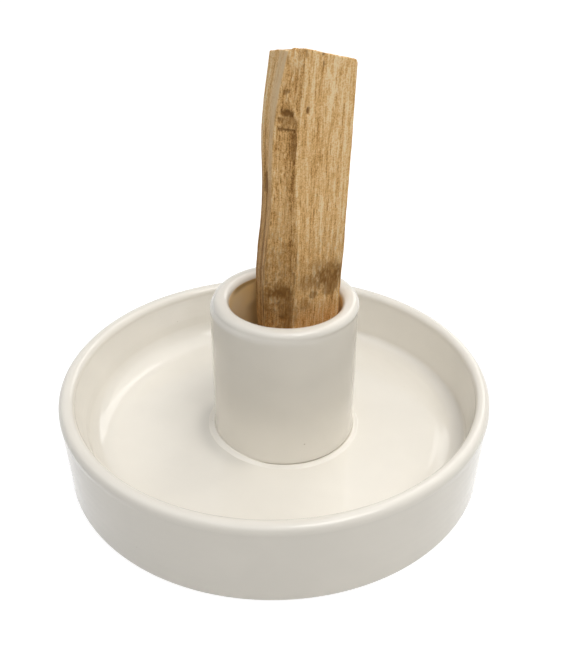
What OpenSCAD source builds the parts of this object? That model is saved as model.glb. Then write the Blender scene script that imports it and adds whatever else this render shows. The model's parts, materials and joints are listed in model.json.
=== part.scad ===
// Palo santo holder: a glazed stoneware dish with a cup luted to its floor,
// and a split stick of palo santo standing loose in the cup.
// Origin: centre of the dish on the table. +Z is up, +X is the side the stick leans to.

/* [Dish] */
// Outside diameter across the rolled rim
dish_d = 114; // [96:0.5:140]
// Height from the table to the top of the rim
dish_h = 24; // [18:0.5:34]
// Thickness of the upright wall under the rim
dish_wall = 3.7; // [3:0.1:5]
// How far the outside of the wall flares out from the table to the rim
wall_flare = 0.5; // [0:0.1:2]
// How far the rolled rim stands out over the wall
rim_lip = 0.5; // [0.1:0.1:1.5]
// Radius of the shallow hollow that leads from the wall to the rolled rim
rim_hollow_r = 9; // [4:0.5:14]
// Thickness of the floor
floor_t = 5.3; // [3.5:0.1:8]
// Height of the foot ring that lifts the floor off the table
foot_h = 3.2; // [1:0.1:5]
// Width of the foot ring
foot_w = 7; // [5:0.1:12]
// Radius of the cove between the wall and the floor
cove_r = 4.5; // [2:0.1:8]
// How far the inside of the wall draws in from the rim to the floor
wall_draft = 0.5; // [0:0.1:2]
// Radius of the outside bottom edge
base_edge_r = 1.4; // [0.4:0.1:2.5]
// Radius inside the foot ring
foot_cove_r = 1.6; // [0.4:0.1:2.2]

/* [Cup] */
// Outside diameter of the cup
cup_d = 38; // [34:0.2:46]
// Thickness of the cup's wall
cup_wall = 4.6; // [3:0.1:5.5]
// Height of the cup above the floor of the dish
cup_h = 40; // [30:0.5:55]
// Distance of the cup's axis to the right of the dish's centre
cup_x = 2.4; // [-6:0.1:6]
// Distance of the cup's axis behind the dish's centre
cup_y = 0.3; // [-6:0.1:6]
// Radius of the round foot edge of the cup
cup_foot_r = 0.8; // [0.4:0.1:1.5]
// Width of the bead of slip outside the cup's foot
seam_w = 2.1; // [1:0.1:4]
// Height of the bead of slip
seam_h = 0.55; // [0.3:0.05:0.9]

/* [Palo santo stick] */
// Length of the stick along its front ridge
stick_len = 103; // [70:0.1:130]
// Width across the broad faces
stick_w = 21.1; // [15:0.1:22]
// Thickness from the front ridge to the back face
stick_t = 13.3; // [9:0.1:15]
// Lean to the right, in degrees
stick_lean = 2; // [0:0.1:4]
// Distance of the stick's middle in front of the cup's axis
stick_forward = 1.6; // [0:0.1:3]
// Gap between the stick and the mouth that it leans against
stick_gap = 0.25; // [0.1:0.05:1]
// Gap between the stick's foot and the floor that it stands on
seat_gap = 0.05; // [0.01:0.01:0.5]
// Place of the ridge left of the middle, at the foot
ridge_foot = 0.7; // [-2:0.1:4]
// Place of the ridge left of the middle, at the top
ridge_top = 1.8; // [-2:0.1:4]
// How far the ridge sways to either side
ridge_sway = 0.55; // [0:0.05:1]
// Width of the left facet seen from the front
left_facet = 2.3; // [0.5:0.1:4]
// How much wider the left facet gets at the top
left_spread = 2; // [0:0.1:3]
// How much the left edge draws in at the top
left_taper = 1.3; // [0:0.1:4]
// Set-back of the left front corner behind the ridge
left_set_back = 2; // [0.5:0.1:4]
// Depth of the hollow torn face between the left front corner and the ridge
torn_hollow = 0.5; // [0:0.1:1]
// Set-back of the right front corner behind the ridge
right_set_back = 6; // [2:0.1:7]
// How far the right back corner is drawn in
right_draw_in = 1.4; // [0:0.1:3]
// Depth of the slow swells that the split follows
split_wave = 0.35; // [0:0.05:0.8]
// Number of swells along the length
split_swells = 2.6; // [0:0.1:5]
// Slope of the sawn top end down to the right, in degrees
end_slope_right = 5.5; // [0:0.5:20]
// Slope of the sawn top end down to the back, in degrees
end_slope_back = 20; // [0:0.5:25]

/* [Hidden] */
$fn = 128;

glaze_colour = [0.95, 0.93, 0.87];
slip_colour = [0.92, 0.90, 0.84];
wood_colour = [0.80, 0.65, 0.45];

// Dish: the round of the rim, the wall's two faces and the floor
rim_r = (dish_wall + rim_lip) / 2;
rim_c = [dish_d / 2 - rim_r, dish_h - rim_r];
inner_top_r = rim_c[0] - rim_r;
outer_top_r = inner_top_r + dish_wall;
base_r = outer_top_r - wall_flare;
floor_z = foot_h + floor_t;
inner_slope = atan(wall_draft / (rim_c[1] - floor_z));
inner_floor_r = inner_top_r - wall_draft;
outer_slope = atan(wall_flare / rim_c[1]);
foot_in_r = base_r - foot_w;

// Hollow under the rim: an arc that is tangent to the drafted outer face and to the rolled rim
wall_out = [cos(outer_slope), -sin(outer_slope)];
wall_down = [-sin(outer_slope), -cos(outer_slope)];
wall_side = [outer_top_r - rim_c[0], 0];
hollow_side = wall_side + rim_hollow_r * wall_out;
hollow_lead = -hollow_side * wall_down;
hollow_drop = hollow_lead + sqrt(pow(hollow_lead, 2) - pow(norm(hollow_side), 2) + pow(rim_hollow_r + rim_r, 2));
hollow_c = rim_c + hollow_side + hollow_drop * wall_down;
hollow_reach = hollow_c - rim_c;

// Cove: an arc that is tangent to the floor and to the drafted inner face, no higher than the wall
cove = min(cove_r, rim_c[1] - floor_z);
cove_c = [inner_floor_r + cove * tan(inner_slope) - cove / cos(inner_slope), floor_z + cove];

// Base edge: an arc that is tangent to the table and to the drafted outer face
edge_c = [base_r + base_edge_r * tan(outer_slope) - base_edge_r / cos(outer_slope), base_edge_r];

// Hollow inside the foot ring, no rounder than the ring is high
foot_cove = min(foot_cove_r, foot_h / 2);
foot_cove_c = [foot_in_r - foot_cove, foot_h - foot_cove];

// Cup
bore_r = cup_d / 2 - cup_wall;
cup_top = floor_z + cup_h;
mouth_z = cup_top - cup_wall / 2;

// Slip: a low arched bead that is tucked under the round of the cup's foot
seam_in = cup_d / 2 - cup_foot_r / 2;
seam_out = cup_d / 2 + seam_w;
seam_half = (seam_w + cup_foot_r) / 2;
seam_mid = seam_out - seam_half;
seam_arc = (pow(seam_half, 2) + pow(seam_h, 2)) / (2 * seam_h);

// Stick: its right front corner leans on the mouth of the cup
corner_y = right_set_back - stick_t / 2;
lean_y = corner_y - stick_forward;
lean_x = sqrt(pow(bore_r - stick_gap, 2) - pow(lean_y, 2));
lean_rise = mouth_z - floor_z;
stick_x = cup_x + lean_x - stick_w / 2 * cos(stick_lean) - lean_rise * tan(stick_lean);
stick_y = cup_y - stick_forward;
stick_z = floor_z + seat_gap + stick_w / 2 * sin(stick_lean);
stations = 16;
taper_power = 5;
edge_phase = -154;
ridge_sways = 2;
corner_phase = 77;

// Outline of the dish's wall, floor and foot in the half plane of the axis
module dish_profile() {
  difference() {
    union() {
      // wall and floor with square corners
      polygon([
        [0, foot_h], [foot_in_r, foot_h], [foot_in_r, 0], [edge_c[0], 0], [edge_c[0], base_edge_r],
        edge_c + base_edge_r * wall_out,
        [outer_top_r, rim_c[1]], [inner_top_r, rim_c[1]], [inner_floor_r, floor_z], [0, floor_z]
      ]);
      // rolled rim
      translate(rim_c) circle(r = rim_r);
      // round bottom edge
      translate(edge_c) circle(r = base_edge_r);
      rim_hollow_fill();
      cove_fill();
      foot_cove_fill();
    }
    translate(hollow_c) circle(r = rim_hollow_r);
    translate(cove_c) circle(r = cove);
    translate(foot_cove_c) circle(r = foot_cove);
  }
}

// Clay that fills the corner under the rolled rim up to the hollow's two tangent points
module rim_hollow_fill() {
  polygon([
    rim_c + wall_side, rim_c + wall_side + hollow_drop * wall_down, hollow_c,
    rim_c + rim_r * hollow_reach / norm(hollow_reach)
  ]);
}

// Clay that fills the corner between floor and wall up to the cove's two tangent points
module cove_fill() {
  polygon([
    [cove_c[0], floor_z], [inner_floor_r, floor_z],
    cove_c + cove * [cos(inner_slope), -sin(inner_slope)], cove_c
  ]);
}

// Clay that fills the corner under the floor, inside the foot ring
module foot_cove_fill() {
  translate(foot_cove_c) square(foot_cove);
}

module dish() {
  color(glaze_colour) rotate_extrude() dish_profile();
}

// Straight tube with a full round lip and a softened foot, standing on the dish's floor
module cup() {
  color(glaze_colour)
    translate([cup_x, cup_y, floor_z])
      rotate_extrude() {
        translate([bore_r, 0]) square([cup_wall - cup_foot_r, cup_h - cup_wall / 2]);
        translate([bore_r, cup_foot_r]) square([cup_wall, cup_h - cup_wall / 2 - cup_foot_r]);
        translate([cup_d / 2 - cup_foot_r, cup_foot_r]) circle(r = cup_foot_r);
        translate([bore_r + cup_wall / 2, cup_h - cup_wall / 2]) circle(r = cup_wall / 2);
      }
}

// Outline of the slip bead, cut to the round of the cup's foot
module seam_profile() {
  difference() {
    intersection() {
      translate([seam_in, 0]) square([seam_out - seam_in, seam_h]);
      translate([seam_mid, seam_h - seam_arc]) circle(r = seam_arc);
    }
    translate([cup_d / 2 - cup_foot_r, cup_foot_r]) circle(r = cup_foot_r);
    translate([seam_in, cup_foot_r]) square([cup_d / 2 - seam_in, seam_h]);
  }
}

// Bead of joining slip in the angle between the cup's foot and the floor
module slip_seam() {
  color(slip_colour)
    translate([cup_x, cup_y, floor_z])
      rotate_extrude() seam_profile();
}

// Slow swell along the split, t from foot to top: corner 0 is the left edge, the others run out of step
function swell(t, corner) = split_wave * sin(360 * split_swells * t + edge_phase + corner * corner_phase);

// Corners of the stick at t from foot to top, anticlockwise seen from above, ridge first
function corners(t) =
  let (
    left = -stick_w / 2 + left_taper * pow(t, taper_power) + swell(t, 0),
    right = stick_w / 2,
    front = -stick_t / 2,
    back = stick_t / 2,
    ridge = -(ridge_foot + (ridge_top - ridge_foot) * t) + ridge_sway * cos(360 * ridge_sways * t),
    left_front = left + left_facet + left_spread * pow(t, taper_power)
  ) [
    [ridge, front],
    [(ridge + right) / 2, front + right_set_back / 2 + swell(t, 1)],
    [right, front + right_set_back],
    [right - right_draw_in, back - split_wave + swell(t, 2)],
    [(left + right) / 2, back - split_wave + swell(t, 3)],
    [left, back - right_draw_in],
    [left_front, front + left_set_back],
    [(left_front + ridge) / 2, front + left_set_back / 2 + torn_hollow + swell(t, 4)]
  ];

// Height of the raked top end over a corner, measured along the stick from its foot
function end_height(p) =
  stick_len - (p[0] + ridge_top) * tan(end_slope_right) - (p[1] + stick_t / 2) * tan(end_slope_back);

// One ring of corners, raked more and more towards the top
function ring(t) = [for (p = corners(t)) [p[0], p[1], t * end_height(p)]];

// Split stick: a loft through rings of corners, closed by its two sawn ends
module palo_santo_stick() {
  n = len(corners(0));
  points = [for (s = [0:stations]) each ring(s / stations)];
  sides = [
    for (s = [0:stations - 1], i = [0:n - 1])
      let (a = s * n + i, b = s * n + (i + 1) % n)
        each [[a, a + n, b + n], [a, b + n, b]]
  ];
  foot = [for (i = [1:n - 2]) [0, i, i + 1]];
  last = stations * n;
  top = [for (i = [1:n - 2]) [last, last + i + 1, last + i]];
  color(wood_colour)
    translate([stick_x, stick_y, stick_z])
      rotate([0, stick_lean, 0])
        polyhedron(points = points, faces = concat(sides, foot, top));
}

dish();
cup();
slip_seam();
palo_santo_stick();
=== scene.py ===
"""Palo santo holder: a glazed stoneware dish with a cup luted to its floor, and a split stick.

Every mesh is a grid of points worked out with numpy in millimetres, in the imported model's frame:
+Z is up, +X is the side that the stick leans to, and the table is at height 0.
"""

import json
import logging
import math
from dataclasses import dataclass
from enum import Enum

import bpy
import numpy as np
from mathutils import Matrix, Vector


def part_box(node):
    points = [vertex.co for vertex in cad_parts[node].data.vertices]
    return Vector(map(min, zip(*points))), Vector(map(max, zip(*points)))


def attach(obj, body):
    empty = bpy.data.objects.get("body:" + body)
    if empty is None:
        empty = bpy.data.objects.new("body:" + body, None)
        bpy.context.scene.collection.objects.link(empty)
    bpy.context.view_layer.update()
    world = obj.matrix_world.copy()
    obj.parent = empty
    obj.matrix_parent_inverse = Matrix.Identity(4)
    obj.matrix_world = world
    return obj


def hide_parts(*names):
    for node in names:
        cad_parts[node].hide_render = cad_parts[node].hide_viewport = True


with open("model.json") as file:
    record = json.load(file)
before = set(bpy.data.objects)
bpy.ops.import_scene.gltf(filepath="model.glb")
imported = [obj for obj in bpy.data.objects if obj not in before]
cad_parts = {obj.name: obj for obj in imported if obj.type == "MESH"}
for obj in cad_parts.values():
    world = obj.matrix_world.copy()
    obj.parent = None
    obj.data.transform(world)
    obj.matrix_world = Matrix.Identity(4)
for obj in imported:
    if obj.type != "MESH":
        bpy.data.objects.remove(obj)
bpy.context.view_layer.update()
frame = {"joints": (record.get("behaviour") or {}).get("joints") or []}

Grid = np.ndarray
Pair = tuple[float, float]
Colour = tuple[float, float, float]
Layer = tuple[int, int, float]
Socket = bpy.types.NodeSocket

MM = 0.001
# Outlines stop this far from the axis, in millimetres, and a fan closes the rest.
AXIS_GAP = 0.6
# Share of the painted crease shade where the cup's foot meets the bead.
CREASE_SHADE = 0.25
log = logging.getLogger("palo_santo_holder")


class Body(Enum):
    """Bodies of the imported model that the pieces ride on."""

    HOLDER = "holder"
    STICK = "stick"


class Slot(Enum):
    """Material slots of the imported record."""

    GLAZE = "white_glaze"
    WOOD = "palo_santo_wood"


class Closure(Enum):
    """How the first and last rows of a grid are closed."""

    POLES = "poles"
    LOOP = "loop"


class Face(Enum):
    """Split faces of the stick that carry marks, as the first and the end edge of its ring of corners."""

    RIGHT_FRONT = (0, 2)
    LEFT_SIDE = (5, 6)
    TORN_FRONT = (6, 8)


def srgb(red: int, green: int, blue: int) -> Colour:
    """Turns a colour on the usual 0 to 255 scale into linear light.

    Args:
        red: Red, 0 to 255.
        green: Green, 0 to 255.
        blue: Blue, 0 to 255.

    Returns:
        The linear colour, 0 to 1.
    """
    share = np.array([red, green, blue]) / 255.0
    linear = np.where(share <= 0.04045, share / 12.92, ((share + 0.055) / 1.055) ** 2.4)
    return tuple(float(part) for part in linear)


def ease(low: float, high: float, value: Grid) -> Grid:
    """Goes smoothly from 0 to 1 as the value goes from low to high: 3f^2 - 2f^3.

    Args:
        low: Value at which the result is 0.
        high: Value at which the result is 1; it may be less than low.
        value: Values to ease.

    Returns:
        The eased values.
    """
    part = np.clip((value - low) / (high - low), 0.0, 1.0)
    return part * part * (3.0 - 2.0 * part)


def bell(centre: float, half: float, value: Grid) -> Grid:
    """Gives exp(-d^2), where d is the distance from the centre in half widths."""
    return np.exp(-(((value - centre) / half) ** 2))


class Lattice:
    """Soft random swells on a grid of cells that joins up round the piece.

    Each knot of the grid has a random height from -1 to 1. Between the knots the height follows the
    quintic ease 6f^5 - 15f^4 + 10f^3 in both directions.
    """

    def __init__(self, dice: np.random.Generator, around: int, along: int) -> None:
        """Draws the heights.

        Args:
            dice: Seeded source of random numbers.
            around: Number of cells round the piece.
            along: Number of cells along it.
        """
        self.around = around
        self.along = along
        self.heights = dice.uniform(-1.0, 1.0, (around, along + 2))

    def at(self, around: Grid, along: Grid) -> Grid:
        """Gives the heights at points of the piece.

        Args:
            around: Share of the way round, which wraps at 1.
            along: Share of the way along, from 0 to 1.

        Returns:
            Heights from -1 to 1, in the shape of the two arguments.
        """
        across = around * self.around
        up = np.clip(along, 0.0, 1.0) * self.along
        column = np.floor(across).astype(int)
        row = np.floor(up).astype(int)
        side = self.soften(across - column)
        rise = self.soften(up - row)
        column, beside = column % self.around, (column + 1) % self.around
        lower = self.heights[column, row] * (1 - side) + self.heights[beside, row] * side
        upper = self.heights[column, row + 1] * (1 - side) + self.heights[beside, row + 1] * side
        return lower * (1 - rise) + upper * rise

    @staticmethod
    def soften(part: Grid) -> Grid:
        """Gives the quintic ease of a share between two knots."""
        return part**3 * (part * (part * 6.0 - 15.0) + 10.0)


def swells(dice: np.random.Generator, around: Grid, along: Grid, layers: tuple[Layer, ...]) -> Grid:
    """Adds up layers of soft random swells.

    Args:
        dice: Seeded source of random numbers.
        around: Share of the way round.
        along: Share of the way along.
        layers: Cells round, cells along and weight of each layer, drawn in this order.

    Returns:
        The weighted sum of the layers.
    """
    return sum(weight * Lattice(dice, cells, rows).at(around, along) for cells, rows, weight in layers)


@dataclass(frozen=True)
class CadBox:
    """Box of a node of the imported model, in millimetres."""

    low: Grid
    high: Grid

    @classmethod
    def of(cls, node: str) -> "CadBox":
        """Reads the box of a node at rest."""
        low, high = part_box(node)
        return cls(np.array(low) / MM, np.array(high) / MM)

    @property
    def middle(self) -> Grid:
        """Middle of the box."""
        return (self.low + self.high) / 2

    @property
    def radius(self) -> float:
        """Half the box's width, which is the radius of a round piece."""
        return float(self.high[0] - self.low[0]) / 2


class Outline:
    """Half outline of a round piece: points (radius, height) on lines and arcs, one after another."""

    def __init__(self, radius: float, height: float) -> None:
        """Starts the outline at a point."""
        self.runs: list[Grid] = [np.array([[radius, height]])]

    def line(self, radius: float, height: float, steps: int) -> "Outline":
        """Goes on in a straight line.

        Args:
            radius: Radius of the line's end.
            height: Height of the line's end.
            steps: Number of steps to it.

        Returns:
            The outline itself.
        """
        share = np.linspace(0.0, 1.0, steps + 1)[1:, None]
        start = self.runs[-1][-1]
        self.runs.append(start + (np.array([radius, height]) - start) * share)
        return self

    def arc(self, centre: Pair, radius: float, start: float, end: float, steps: int) -> "Outline":
        """Goes on along an arc of a circle, which is a bow of equal reach and power 2."""
        return self.bow(centre, (radius, radius), start, end, 2.0, steps)

    def bow(
        self, centre: Pair, reach: Pair, start: float, end: float, power: float, steps: int
    ) -> "Outline":
        """Goes on along a part of the curve |x / a|^n + |y / b|^n = 1.

        Args:
            centre: Radius and height of the curve's centre.
            reach: Its half width a and half height b.
            start: Angle of its first point, in degrees from outwards towards up.
            end: Angle of its last point.
            power: The power n: 2 gives an ellipse, more a squarer curve.
            steps: Number of steps along it.

        Returns:
            The outline itself.
        """
        angle = np.radians(np.linspace(start, end, steps + 1))
        turn = np.stack([np.cos(angle), np.sin(angle)], -1)
        bent = np.sign(turn) * np.abs(turn) ** (2 / power)
        self.runs.append(np.array(centre) + np.array(reach) * bent)
        return self

    def points(self) -> Grid:
        """Gives the outline's points in order, without doubles."""
        path = np.concatenate(self.runs)
        step = np.linalg.norm(np.diff(path, axis=0), axis=1)
        return path[np.concatenate([[True], step > 1e-4])]


@dataclass
class Revolved:
    """A half outline carried round an axis: rows follow the outline and columns the angle.

    Point (i, j) is at radius r_i and height z_i, turned by the angle a_j.
    """

    path: Grid
    columns: int

    def __post_init__(self) -> None:
        """Works out the angles, the outline's normals and the way along it."""
        self.share = np.arange(self.columns) / self.columns
        self.radius = np.repeat(self.path[:, :1], self.columns, 1)
        self.height = np.repeat(self.path[:, 1:], self.columns, 1)
        self.around = np.repeat(self.share[None, :], len(self.path), 0)
        step = np.linalg.norm(np.diff(self.path, axis=0), axis=1)
        self.way = np.concatenate([[0.0], np.cumsum(step)])
        self.along = np.repeat((self.way / self.way[-1])[:, None], self.columns, 1)
        tangent = np.gradient(self.path, axis=0)
        tangent /= np.linalg.norm(tangent, axis=1, keepdims=True)
        self.out = tangent[:, 1:]
        self.up = -tangent[:, :1]

    def swell(self, amount: Grid) -> None:
        """Moves each point along the outline's normal by an amount in millimetres."""
        self.radius = self.radius + self.out * amount
        self.height = self.height + self.up * amount

    def points(self, axis: Pair = (0.0, 0.0)) -> Grid:
        """Gives the grid of points round an upright axis at a place on the table."""
        angle = 2 * np.pi * self.around
        x = axis[0] + self.radius * np.cos(angle)
        y = axis[1] + self.radius * np.sin(angle)
        return np.stack([x, y, self.height], -1)


def weave(name: str, points: Grid, closure: Closure, traits: dict[str, Grid]) -> bpy.types.Object:
    """Makes a closed mesh of a grid of points, whose columns run anticlockwise and join up.

    Each cell of the grid is one quad, with its outside on the right of the rows' direction. With poles,
    the first and the last row are filled by fans about their mean; with a loop, the last row joins the
    first.

    Args:
        name: Name of the piece.
        points: Grid of points in millimetres, rows by columns by 3.
        closure: How the first and last rows are closed.
        traits: Grids of numbers, rows by columns, that the finishes read by name.

    Returns:
        The new object, at the origin, with its place in its mesh.
    """
    rows, columns = points.shape[:2]
    index = np.arange(rows * columns).reshape(rows, columns)
    vertices = points.reshape(-1, 3)
    values = {trait: grid.reshape(-1) for trait, grid in traits.items()}
    if closure is Closure.LOOP:
        low, high = index, np.roll(index, -1, 0)
    else:
        low, high = index[:-1], index[1:]
    quads = np.stack([low, np.roll(low, -1, 1), np.roll(high, -1, 1), high], -1)
    faces = quads.reshape(-1, 4).tolist()
    if closure is Closure.POLES:
        vertices = np.vstack([vertices, points[0].mean(0), points[-1].mean(0)])
        values = {
            trait: np.concatenate([grid.reshape(-1), [grid[0].mean(), grid[-1].mean()]])
            for trait, grid in traits.items()
        }
        first = np.stack([np.full(columns, index.size), np.roll(index[0], -1), index[0]], -1)
        last = np.stack([np.full(columns, index.size + 1), index[-1], np.roll(index[-1], -1)], -1)
        faces += first.tolist() + last.tolist()
    mesh = bpy.data.meshes.new(name)
    mesh.from_pydata((vertices * MM).tolist(), [], faces)
    mesh.shade_smooth()
    for trait, numbers in values.items():
        layer = mesh.attributes.new(trait, "FLOAT", "POINT")
        layer.data.foreach_set("value", numbers.astype(np.float32))
    mesh.validate()
    piece = bpy.data.objects.new(name, mesh)
    bpy.context.scene.collection.objects.link(piece)
    return piece


def seat(piece: bpy.types.Object, node: str, body: Body, finish: bpy.types.Material) -> None:
    """Puts a piece in the place of its node, with its finish.

    Args:
        piece: The finished mesh object.
        node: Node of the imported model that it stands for.
        body: Body that it rides on.
        finish: Its material.
    """
    piece.data.materials.append(finish)
    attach(piece, body.value)
    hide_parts(node)
    log.info("%s: %d faces, rides on %s", piece.name, len(piece.data.polygons), body.value)


class Board:
    """Nodes of a material or a world, with short calls for the ones that the finishes use."""

    def __init__(self, owner: bpy.types.Material | bpy.types.World) -> None:
        """Clears the nodes of a material or a world."""
        owner.use_nodes = True
        self.owner = owner
        self.tree = owner.node_tree
        self.tree.nodes.clear()

    @classmethod
    def finish(cls, name: str) -> "Board":
        """Starts the board of a new material."""
        return cls(bpy.data.materials.new(name))

    def node(self, kind: str, **settings: object) -> bpy.types.Node:
        """Adds a node of a kind and sets its properties."""
        made = self.tree.nodes.new(kind)
        for name, value in settings.items():
            setattr(made, name, value)
        return made

    def feed(self, socket: Socket, value: object) -> None:
        """Links a socket to an output, or sets it where the value is constant."""
        if isinstance(value, Socket):
            self.tree.links.new(value, socket)
        elif isinstance(value, tuple) and socket.type == "RGBA":
            socket.default_value = (*value, 1.0)
        else:
            socket.default_value = value

    def place(self) -> Socket:
        """Gives the point's place in the object, in metres."""
        return self.node("ShaderNodeTexCoord").outputs["Object"]

    def trait(self, name: str) -> Socket:
        """Gives a number that the mesh carries by name."""
        return self.node("ShaderNodeAttribute", attribute_name=name).outputs["Fac"]

    def turned(self, place: Socket, origin: Grid, lean: float, cell: Colour) -> Socket:
        """Gives a place in a leaning piece's own cells.

        Args:
            place: Place in the object, in metres.
            origin: The piece's own origin, in millimetres.
            lean: Its lean about Y, in radians.
            cell: Size of a cell along its own axes, in millimetres.

        Returns:
            The place, counted in cells.
        """
        mapping = self.node("ShaderNodeMapping", vector_type="TEXTURE")
        self.feed(mapping.inputs["Vector"], place)
        mapping.inputs["Location"].default_value = [part * MM for part in origin]
        mapping.inputs["Rotation"].default_value = (0.0, lean, 0.0)
        mapping.inputs["Scale"].default_value = [part * MM for part in cell]
        return mapping.outputs["Vector"]

    def noise(self, place: Socket, cell: float, detail: float = 2.0) -> Socket:
        """Gives a cloudy number from 0 to 1.

        Args:
            place: Place to read it at.
            cell: Size of its clouds, in the place's units.
            detail: Number of finer layers.

        Returns:
            The number's socket.
        """
        cloud = self.node("ShaderNodeTexNoise")
        self.feed(cloud.inputs["Vector"], place)
        cloud.inputs["Scale"].default_value = 1.0 / cell
        cloud.inputs["Detail"].default_value = detail
        return cloud.outputs["Fac"]

    def specks(self, place: Socket, cell: float) -> Socket:
        """Gives the distance to the nearest of some scattered points, counted in cells."""
        cells = self.node("ShaderNodeTexVoronoi")
        self.feed(cells.inputs["Vector"], place)
        cells.inputs["Scale"].default_value = 1.0 / cell
        return cells.outputs["Distance"]

    def rings(self, place: Socket, width: float, wander: float) -> Socket:
        """Gives growth rings about the place's Z axis.

        Args:
            place: Place, with the pith at its Z axis.
            width: Width of a ring, in the place's units.
            wander: How far the rings wander.

        Returns:
            A number from 0 to 1 across each ring.
        """
        wave = self.node("ShaderNodeTexWave", wave_type="RINGS", rings_direction="Z", wave_profile="SAW")
        self.feed(wave.inputs["Vector"], place)
        wave.inputs["Scale"].default_value = 0.314 / width
        wave.inputs["Distortion"].default_value = wander
        wave.inputs["Detail"].default_value = 3.0
        wave.inputs["Detail Scale"].default_value = 1.6
        return wave.outputs["Fac"]

    def math(self, operation: str, first: object, second: object) -> Socket:
        """Gives the result of an arithmetic operation on two numbers, held between 0 and 1."""
        result = self.node("ShaderNodeMath", operation=operation, use_clamp=True)
        self.feed(result.inputs[0], first)
        self.feed(result.inputs[1], second)
        return result.outputs["Value"]

    def span(self, value: Socket, source: Pair, target: Pair) -> Socket:
        """Carries a number smoothly from one range to another.

        Args:
            value: The number.
            source: Where the number starts and ends.
            target: What it becomes there.

        Returns:
            The new number's socket.
        """
        spread = self.node("ShaderNodeMapRange", interpolation_type="SMOOTHSTEP")
        self.feed(spread.inputs["Value"], value)
        spread.inputs["From Min"].default_value, spread.inputs["From Max"].default_value = source
        spread.inputs["To Min"].default_value, spread.inputs["To Max"].default_value = target
        return spread.outputs["Result"]

    def blend(self, share: Socket, first: object, second: object) -> Socket:
        """Mixes two colours; a share of 1 gives the second."""
        mix = self.node("ShaderNodeMix", data_type="RGBA")
        self.feed(mix.inputs[0], share)
        self.feed(mix.inputs[6], first)
        self.feed(mix.inputs[7], second)
        return mix.outputs[2]

    def ramp(self, value: Socket, stops: tuple[tuple[float, Colour], ...]) -> Socket:
        """Turns a number into a colour that passes through some stops."""
        ramp = self.node("ShaderNodeValToRGB")
        self.feed(ramp.inputs["Fac"], value)
        stretch = ramp.color_ramp.elements
        while len(stretch) < len(stops):
            stretch.new(0.5)
        for element, (position, colour) in zip(stretch, stops):
            element.position = position
            element.color = (*colour, 1.0)
        return ramp.outputs["Color"]

    def relief(self, height: Socket, depth: float, under: Socket | None = None) -> Socket:
        """Bends the surface's normal by a height map.

        Args:
            height: Height from 0 to 1.
            depth: Depth of the relief, in millimetres.
            under: Normal that it adds to, if any.

        Returns:
            The new normal.
        """
        bump = self.node("ShaderNodeBump")
        bump.inputs["Distance"].default_value = depth * MM
        self.feed(bump.inputs["Height"], height)
        if under is not None:
            self.feed(bump.inputs["Normal"], under)
        return bump.outputs["Normal"]

    def choose(self, share: Socket, first: Socket, second: Socket, end: str) -> None:
        """Ends the board in a mix of two shaders.

        Args:
            share: Share of the second shader.
            first: The shader at a share of 0.
            second: The shader at a share of 1.
            end: Kind of the output node.
        """
        choice = self.node("ShaderNodeMixShader")
        self.feed(choice.inputs[0], share)
        self.feed(choice.inputs[1], first)
        self.feed(choice.inputs[2], second)
        self.feed(self.node(end).inputs["Surface"], choice.outputs[0])

    def surface(
        self, colour: Socket, roughness: object, normal: Socket, specular: float
    ) -> bpy.types.Material:
        """Ends the board in one shader.

        Args:
            colour: Base colour.
            roughness: Roughness, a socket or a constant.
            normal: Normal of the relief.
            specular: Specular level, 0.5 for an index of 1.5.

        Returns:
            The finished material.
        """
        shader = self.node("ShaderNodeBsdfPrincipled")
        self.feed(shader.inputs["Base Color"], colour)
        self.feed(shader.inputs["Roughness"], roughness)
        self.feed(shader.inputs["Normal"], normal)
        shader.inputs["Specular IOR Level"].default_value = specular
        end = self.node("ShaderNodeOutputMaterial")
        self.feed(end.inputs["Surface"], shader.outputs["BSDF"])
        return self.owner


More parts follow.
